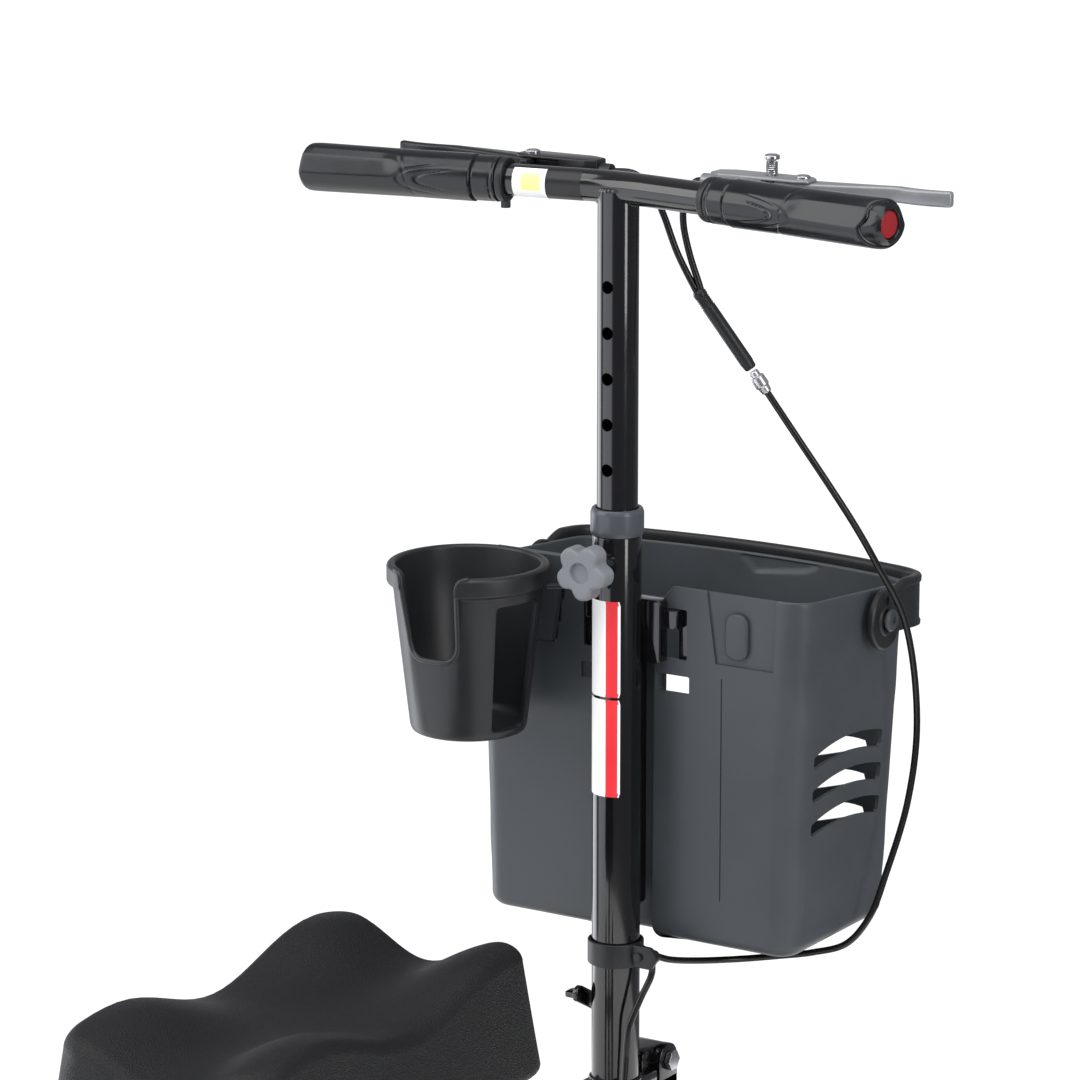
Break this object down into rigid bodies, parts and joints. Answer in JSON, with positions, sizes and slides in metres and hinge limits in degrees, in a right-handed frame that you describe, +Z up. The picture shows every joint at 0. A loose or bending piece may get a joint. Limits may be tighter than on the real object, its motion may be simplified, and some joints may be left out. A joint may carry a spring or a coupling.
{
  "type": "knee scooter",
  "caption": "Four-wheeled steerable knee scooter with a padded knee rest, folding height-adjustable handlebar column, brake levers, hanging basket and cup holder.",
  "frame": {"origin": "on the floor, under the middle of the whole scooter", "axes": "+Z up, +Y towards the front wheels, +X to the rider's right"},
  "size_m": [0.4658, 0.9154, 0.9675],
  "materials": {
    "black_paint": "gloss",
    "black_plastic": "satin",
    "basket_plastic": "satin",
    "cup_plastic": "satin",
    "knob_plastic": "satin",
    "grip_plastic": "gloss",
    "pad_foam": "matte",
    "tyre_rubber": "matte",
    "wheel_plastic": "satin",
    "bright_steel": "satin",
    "lever_metal": "satin",
    "reflector": "gloss",
    "cable_sheath": "gloss"
  },
  "bodies": {
    "frame": {"main_frame": "black_paint", "head_bush_upper": "black_plastic", "head_bush_lower": "black_plastic", "rear_axle": "bright_steel", "seat_sleeve_collar": "black_plastic", "brake_backing_plate": "wheel_plastic", "brake_shoe_upper": "bright_steel", "brake_shoe_lower": "bright_steel", "brake_cable_frame": "cable_sheath"},
    "seat": {"seat_post": "black_paint", "pad_board": "black_plastic", "knee_pad": "pad_foam"},
    "seat_knob": {"seat_clamp_knob": "knob_plastic"},
    "brake_arm": {"brake_arm": "bright_steel"},
    "steering": {"steering_spindle": "black_paint", "fold_pin": "bright_steel", "brake_cable_steering": "cable_sheath"},
    "fold_lever": {"fold_release_lever": "black_paint"},
    "knuckle_left": {"steering_knuckle_left": "black_paint", "front_axle_nut_left": "bright_steel"},
    "knuckle_right": {"steering_knuckle_right": "black_paint", "front_axle_nut_right": "bright_steel"},
    "tie_rod_left": {"tie_rod_left": "bright_steel"},
    "tie_rod_right": {"tie_rod_right": "bright_steel"},
    "front_left": {"front_left_tyre": "tyre_rubber", "front_left_wheel": "wheel_plastic"},
    "front_right": {"front_right_tyre": "tyre_rubber", "front_right_wheel": "wheel_plastic"},
    "rear_left": {"rear_left_tyre": "tyre_rubber", "rear_left_wheel": "wheel_plastic"},
    "rear_right": {"rear_right_tyre": "tyre_rubber", "rear_right_wheel": "wheel_plastic", "brake_drum": "bright_steel"},
    "column": {"lower_column": "black_paint", "column_collar": "black_plastic", "cable_clip": "black_plastic", "basket_bracket": "black_paint", "cup_holder": "cup_plastic", "cup_holder_arm": "black_plastic", "brake_cable_column": "cable_sheath", "brake_cable_hinge": "cable_sheath"},
    "column_knob": {"column_clamp_knob": "knob_plastic"},
    "stem": {"handlebar": "black_paint", "grip_left": "grip_plastic", "grip_right": "grip_plastic", "grip_reflector_left": "reflector", "grip_reflector_right": "reflector", "brake_lever_mount_left": "lever_metal", "brake_lever_mount_right": "lever_metal", "cable_splitter": "black_plastic", "cable_adjuster": "bright_steel", "brake_cable_left": "cable_sheath", "brake_cable_right": "cable_sheath", "brake_cable_main": "cable_sheath"},
    "lever_left": {"brake_lever_left": "lever_metal"},
    "lever_right": {"brake_lever_right": "lever_metal"},
    "lock_plunger": {"brake_lock_plunger": "bright_steel"},
    "basket": {"basket": "basket_plastic"},
    "bail": {"basket_bail": "black_plastic"}
  },
  "joints": [
    {"name": "steer", "type": "hinge", "parent": "frame", "child": "steering", "pos_m": [0, 0.24375, 0.2], "axis": [0, 0, 1], "range_deg": [-30, 30], "deforming": ["brake_cable_steering"]},
    {"name": "fold", "type": "hinge", "parent": "steering", "child": "column", "pos_m": [0, 0.28875, 0.308], "axis": [-1, 0, 0], "range_deg": [0, 70], "deforming": ["brake_cable_hinge"]},
    {"name": "fold_lever_pull", "type": "hinge", "parent": "steering", "child": "fold_lever", "pos_m": [-0.025, 0.28875, 0.308], "axis": [1, 0, 0], "range_deg": [-8, 25]},
    {"name": "stem_height", "type": "slide", "parent": "column", "child": "stem", "axis": [0, 0, 1], "range_m": [-0.127, 0.06], "deforming": ["brake_cable_main"]},
    {"name": "seat_height", "type": "slide", "parent": "frame", "child": "seat", "axis": [0, 0, 1], "range_m": [-0.0254, 0.0508]},
    {"name": "column_knob_turn", "type": "hinge", "parent": "column", "child": "column_knob", "pos_m": [0, 0.20375, 0.679], "axis": [0, 1, 0], "continuous": true},
    {"name": "seat_knob_turn", "type": "hinge", "parent": "frame", "child": "seat_knob", "pos_m": [0, -0.14925, 0.283], "axis": [0, 1, 0], "continuous": true},
    {"name": "squeeze_left", "type": "hinge", "parent": "stem", "child": "lever_left", "pos_m": [-0.086, 0.27075, 0.9455], "axis": [0, 0, 1], "range_deg": [0, 20], "stiffness_Nm_per_rad": 1.2, "springref_deg": -5.73},
    {"name": "squeeze_right", "type": "hinge", "parent": "stem", "child": "lever_right", "pos_m": [0.128, 0.27075, 0.9455], "axis": [0, 0, -1], "range_deg": [0, 20], "stiffness_Nm_per_rad": 1.2, "springref_deg": -5.73},
    {"name": "lock_press", "type": "slide", "parent": "stem", "child": "lock_plunger", "axis": [0, 0, -1], "range_m": [0, 0.003], "stiffness_N_per_m": 400, "springref_m": -0.002},
    {"name": "brake_cam", "type": "hinge", "parent": "frame", "child": "brake_arm", "pos_m": [0.122, -0.33025, 0.127], "axis": [-1, 0, 0], "range_deg": [0, 8]},
    {"name": "basket_lift", "type": "slide", "parent": "column", "child": "basket", "axis": [0, 0, 1], "range_m": [0, 0.02]},
    {"name": "bail_swing", "type": "hinge", "parent": "basket", "child": "bail", "pos_m": [0, 0.36825, 0.631], "axis": [1, 0, 0], "range_deg": [0, 95]},
    {"name": "knuckle_left_steer", "type": "hinge", "parent": "frame", "child": "knuckle_left", "pos_m": [-0.13, 0.24375, 0.16], "axis": [0, 0, 1], "range_deg": [-31, 31]},
    {"name": "tie_rod_left_turn", "type": "hinge", "parent": "steering", "child": "tie_rod_left", "pos_m": [-0.009, 0.20375, 0.134], "axis": [0, 0, 1], "range_deg": [-31, 31]},
    {"name": "knuckle_right_steer", "type": "hinge", "parent": "frame", "child": "knuckle_right", "pos_m": [0.13, 0.24375, 0.16], "axis": [0, 0, 1], "range_deg": [-31, 31]},
    {"name": "tie_rod_right_turn", "type": "hinge", "parent": "steering", "child": "tie_rod_right", "pos_m": [0.009, 0.20375, 0.134], "axis": [0, 0, 1], "range_deg": [-31, 31]},
    {"name": "front_left_roll", "type": "hinge", "parent": "knuckle_left", "child": "front_left", "pos_m": [-0.17, 0.24375, 0.1015], "axis": [1, 0, 0], "continuous": true},
    {"name": "rear_left_roll", "type": "hinge", "parent": "frame", "child": "rear_left", "pos_m": [-0.17, -0.35625, 0.1015], "axis": [1, 0, 0], "continuous": true},
    {"name": "front_right_roll", "type": "hinge", "parent": "knuckle_right", "child": "front_right", "pos_m": [0.17, 0.24375, 0.1015], "axis": [1, 0, 0], "continuous": true},
    {"name": "rear_right_roll", "type": "hinge", "parent": "frame", "child": "rear_right", "pos_m": [0.17, -0.35625, 0.1015], "axis": [1, 0, 0], "continuous": true}
  ],
  "couplings": [
    {"joint": "knuckle_left_steer", "follows": "steer", "ratio": 1},
    {"joint": "tie_rod_left_turn", "follows": "steer", "ratio": -1},
    {"joint": "knuckle_right_steer", "follows": "steer", "ratio": 1},
    {"joint": "tie_rod_right_turn", "follows": "steer", "ratio": -1},
    {"joint": "brake_cam", "follows": "squeeze_right", "ratio": 0.35}
  ]
}
